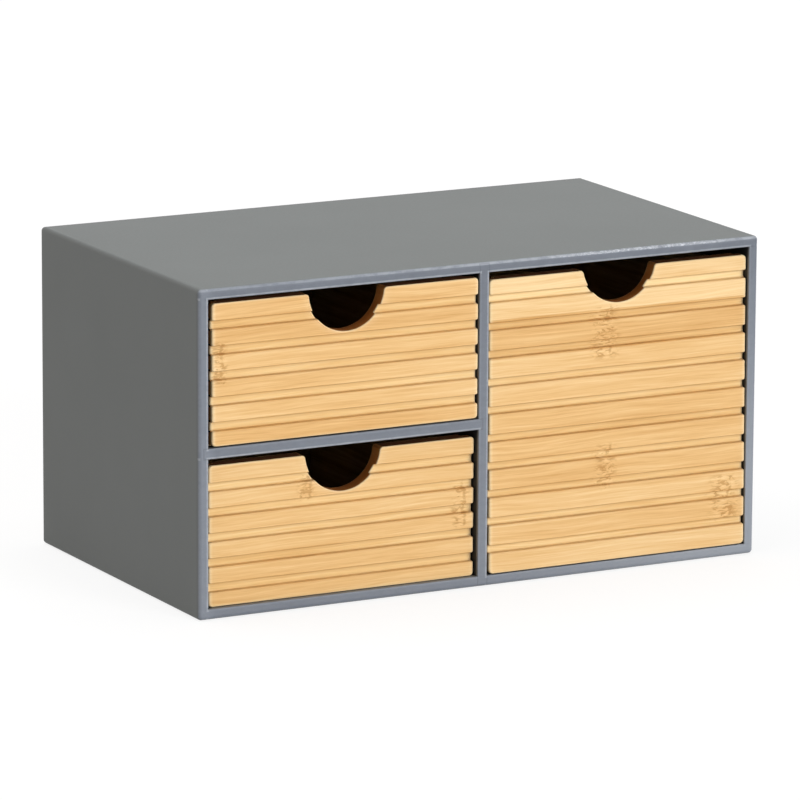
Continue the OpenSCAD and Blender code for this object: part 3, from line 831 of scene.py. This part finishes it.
def hardboard():
    """Brown hardboard: pressed fibres, fine flecks and the faint print of the wire screen."""
    m = Finish("brown_hardboard")
    fibres = m.noise(m.stretched(0.9, 0.9, 1.5), 1.0, 5, 0.72, 1.2)
    broad = m.noise(m.place, 0.05, 2)
    flecks = m.noise(m.place, 2.6, 2)
    screen = (m.x * 4.4).wave() * (m.z * 4.4).wave()
    tone = 0.5 + (fibres - 0.5) * 1.2 + (broad - 0.5) * 0.25 + screen * 0.06
    colour = tone.tint([(0.1, srgb("5a3d26")), (0.5, srgb("755339")), (0.9, srgb("8d6a4a"))])
    colour = colour.mixed(srgb("3a2616"), flecks.ramp(0.62, 0.75) * 0.35)
    rough, relief = 0.62 + (fibres - 0.5) * 0.2, fibres * 0.6 + screen * 0.4
    return m.finish(colour, rough, relief, 0.4, 0.00015, Specular_IOR_Level=0.35)


def steel_brad():
    """Bright wire steel, slightly dulled."""
    m = Finish("wire_steel")
    dull = m.noise(m.place, 3.0, 3)
    colour = dull.tint([(0.2, srgb("8d8f92")), (0.8, srgb("b4b6b8"))])
    return m.finish(colour, 0.28 + dull * 0.2, dull, 0.1, 0.00003, Metallic=1.0)


FINISHES = {
    "painted_board": painted_board(),
    "bamboo": bamboo(),
    "plywood": plywood(),
    "hardboard": hardboard(),
    "steel_brad": steel_brad(),
}

# ---------------------------------------------------------------- pieces
for drawer, sizes in DRAWERS.items():
    front = bamboo_front(drawer + "_reeded_front", sizes, FINISHES["bamboo"])
    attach(front, drawer)
    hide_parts(drawer + "_front")

for node, board in case_boards(FINISHES["painted_board"]).items():
    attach(board, "case")
    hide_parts(node)

# the solids that stay in sight get the finish of their material slot
for solid in nodes.values():
    for place in solid.material_slots:
        place.material = FINISHES[place.material.name.split(".")[0]]


# ---------------------------------------------------------------- stage, in metres
FLOOR_REACH = 6.0
FLOOR_DROP = 0.0002  # how far under the base the floor lies, so that no two faces coincide
# The floor's grey under diffuse light, its brightness to the camera and the share of that
FLOOR_GREY, FLOOR_GLOW, FLOOR_SEEN = 0.5, 1.34, 0.62
# The world's strength as light, and what is added where it is seen
SKY_LIGHT, SKY_SEEN = 0.12, 0.93


def seen_directly(start):
    """1 on rays that show a surface to the camera, straight or by gloss, and 0 on diffuse light."""
    kinds = ("Is Camera Ray", "Is Glossy Ray", "Is Transmission Ray")
    camera_ray, glossy_ray, through_ray = start.node("LightPath", out=kinds)
    return camera_ray.most(glossy_ray).most(through_ray)


def floor_finish():
    """White floor: the camera sees it nearly as a lamp, so only the object's shadow shows on it."""
    material = bpy.data.materials.new("white_floor")
    material.use_nodes = True
    tree = material.node_tree
    tree.nodes.clear()
    start = Wire(tree)
    seen = seen_directly(start)
    matt = start.node("BsdfDiffuse", {}, {"Color": (FLOOR_GREY, FLOOR_GREY, FLOOR_GREY, 1)})
    glow = start.node("Emission", {}, {"Color": (1, 1, 1, 1), "Strength": FLOOR_GLOW})
    both = start.node("MixShader", {}, {0: seen * FLOOR_SEEN, 1: matt, 2: glow})
    start.node("OutputMaterial", {}, {0: both}, out=None)
    return material


def add_floor():
    """A wide level square just under the base."""
    far = FLOOR_REACH
    mesh = bpy.data.meshes.new("floor")
    mesh.from_pydata([(-far, -far, 0), (far, -far, 0), (far, far, 0), (-far, far, 0)], [], [(0, 1, 2, 3)])
    mesh.materials.append(floor_finish())
    floor = bpy.data.objects.new("floor", mesh)
    floor.location.z = -FLOOR_DROP
    bpy.context.scene.collection.objects.link(floor)


def sun(name, heading, height, strength, spread, colour=(1, 1, 1)):
    """A soft lamp far away. Heading runs from the front (-Y) towards +X, height is above level."""
    lamp = bpy.data.lights.new(name, "SUN")
    lamp.energy, lamp.angle, lamp.color = strength, math.radians(spread), colour
    holder = bpy.data.objects.new(name, lamp)
    a, h = math.radians(heading), math.radians(height)
    towards = Vector((math.sin(a) * math.cos(h), -math.cos(a) * math.cos(h), math.sin(h)))
    holder.rotation_euler = towards.to_track_quat("Z", "Y").to_euler()
    bpy.context.scene.collection.objects.link(holder)


def add_world():
    """A white world: faint as light, and white where the camera sees it."""
    world = bpy.data.worlds.new("studio")
    bpy.context.scene.world = world
    world.use_nodes = True
    sky = seen_directly(Wire(world.node_tree))
    ground = world.node_tree.nodes["Background"]
    ground.inputs["Color"].default_value = (1, 1, 1, 1)
    world.node_tree.links.new((SKY_LIGHT + sky * SKY_SEEN).socket, ground.inputs["Strength"])


add_floor()
sun("top_lamp", heading=170, height=78, strength=1.98, spread=70)
sun("front_lamp", heading=20, height=9, strength=2.7, spread=28)
sun("side_lamp", heading=-105, height=25, strength=1.0, spread=80, colour=(1.0, 0.9, 0.83))
add_world()

# ---------------------------------------------------------------- camera, in metres and degrees
CAMERA_PLACE = (-1.184191, -2.240790, 0.616879)
CAMERA_HEADING, CAMERA_DIP, CAMERA_ROLL = 27.876, 12.36, 0.31
SENSOR_W, LENS = 36.0, 288.771  # millimetres
SIGHT = 100.0


def add_camera():
    """The camera at the photograph's viewing angle: heading from +Y towards +X, dip below level."""
    data = bpy.data.cameras.new("camera")
    data.sensor_width, data.lens, data.clip_end = SENSOR_W, LENS, SIGHT
    camera = bpy.data.objects.new("camera", data)
    bpy.context.scene.collection.objects.link(camera)
    heading, dip, roll = (math.radians(angle) for angle in (CAMERA_HEADING, CAMERA_DIP, CAMERA_ROLL))
    look = Vector((math.sin(heading) * math.cos(dip), math.cos(heading) * math.cos(dip), -math.sin(dip)))
    level = Vector((math.cos(heading), -math.sin(heading), 0))
    upright = level.cross(look)
    right = level * math.cos(roll) + upright * math.sin(roll)
    up = upright * math.cos(roll) - level * math.sin(roll)
    turn = Matrix((right, up, -look)).transposed().to_4x4()
    camera.matrix_world = Matrix.Translation(CAMERA_PLACE) @ turn
    bpy.context.scene.camera = camera


add_camera()
bpy.context.scene.view_settings.view_transform = "Standard"
